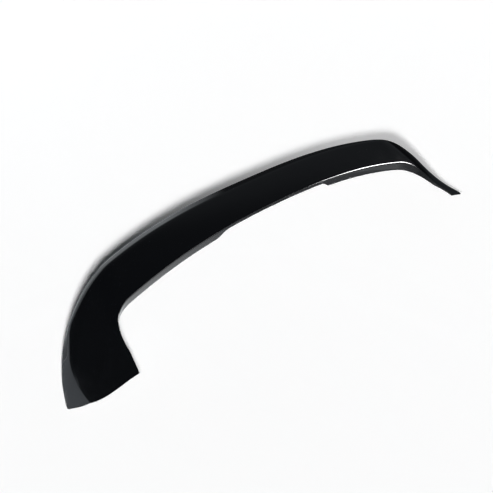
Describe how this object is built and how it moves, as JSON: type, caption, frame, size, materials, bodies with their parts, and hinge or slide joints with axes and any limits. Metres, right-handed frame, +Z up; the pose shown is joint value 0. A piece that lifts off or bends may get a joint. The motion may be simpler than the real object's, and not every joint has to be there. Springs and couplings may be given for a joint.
{
  "type": "roof spoiler",
  "caption": "Arched hatchback roof spoiler: a slim blade that runs out into a broad lobe at each end, with a lip under its rear ridge, open and ribbed below.",
  "frame": {"origin": "on the mirror plane at the middle of the spoiler's depth, level with the lowest points of the two lobe tips", "axes": "+X across the car, from one lobe to the other; +Y forward along the car, towards the leading rim; +Z up, as mounted on the car"},
  "size_m": [1.18, 0.2842, 0.1856],
  "materials": {
    "shell": "gloss black moulded plastic with a clear polished surface"
  },
  "bodies": {
    "root": {"spoiler_shell": "shell"}
  },
  "joints": []
}
